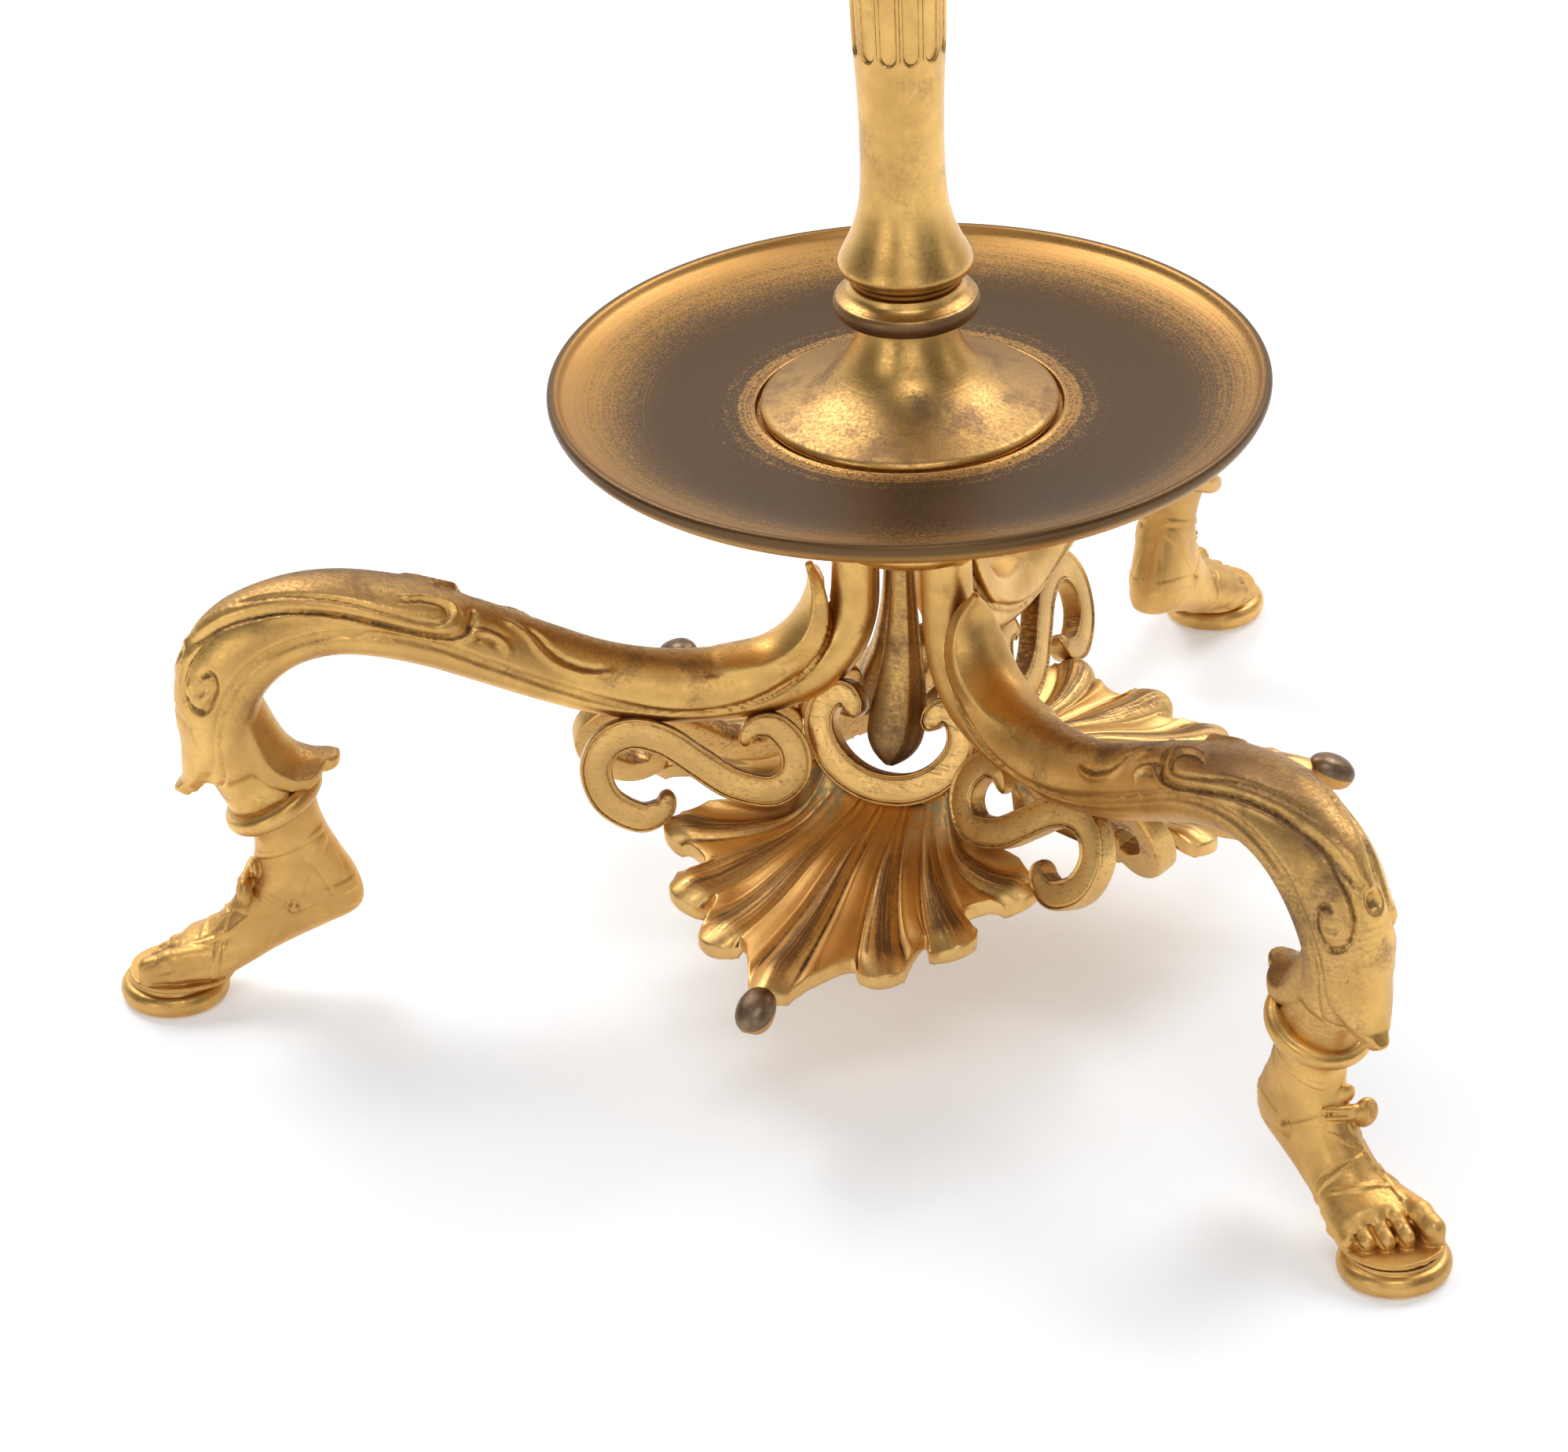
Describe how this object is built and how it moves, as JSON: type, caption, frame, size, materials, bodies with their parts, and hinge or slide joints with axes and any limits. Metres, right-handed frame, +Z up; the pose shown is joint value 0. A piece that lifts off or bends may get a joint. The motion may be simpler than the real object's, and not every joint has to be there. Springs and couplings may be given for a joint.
{
  "type": "torchere candle stand",
  "caption": "Gilt bronze candle stand on sandalled feet: a fluted shaft with a round tray, shell aprons and a lift-out candle nozzle.",
  "frame": {"origin": "on the column axis at the level of the table that the three toe discs stand on", "axes": "+Z up along the column; -Y towards the front shell apron; the legs stand at +Y and 120 degrees either side of it"},
  "size_m": [0.2667, 0.2347, 0.5382],
  "materials": {
    "gilt": "fire-gilt bronze, satin, rubbed brown on the high parts",
    "patinated": "dark brown patinated bronze, satin, gilding worn off",
    "iron": "dark iron rod, nut, washer and screws, matt"
  },
  "bodies": {
    "stand": {"leg_back": "gilt", "ankle_ring_back": "gilt", "foot_back": "gilt", "toe_disc_back": "gilt", "leg_screw_back": "iron", "leg_left": "gilt", "ankle_ring_left": "gilt", "foot_left": "gilt", "toe_disc_left": "gilt", "leg_screw_left": "iron", "leg_right": "gilt", "ankle_ring_right": "gilt", "foot_right": "gilt", "toe_disc_right": "gilt", "leg_screw_right": "iron", "apron_front": "gilt", "c_scroll_front": "gilt", "s_scroll_front_a": "gilt", "s_scroll_front_b": "gilt", "bead_front": "patinated", "drop_front": "gilt", "apron_right": "gilt", "c_scroll_right": "gilt", "s_scroll_right_a": "gilt", "s_scroll_right_b": "gilt", "bead_right": "patinated", "drop_right": "gilt", "apron_left": "gilt", "c_scroll_left": "gilt", "s_scroll_left_a": "gilt", "s_scroll_left_b": "gilt", "bead_left": "patinated", "drop_left": "gilt", "hub": "gilt", "tie_rod": "iron", "rod_washer": "iron", "rod_nut": "iron", "dish": "patinated", "dish_boss": "gilt", "collar": "gilt", "shaft": "gilt", "astragal": "gilt", "capital": "gilt", "drip_pan": "patinated"},
    "nozzle": {"candle_nozzle": "gilt"}
  },
  "joints": [
    {"name": "nozzle_lift", "type": "slide", "parent": "stand", "child": "nozzle", "axis": [0, 0, 1], "range_m": [0, 0.03]}
  ]
}
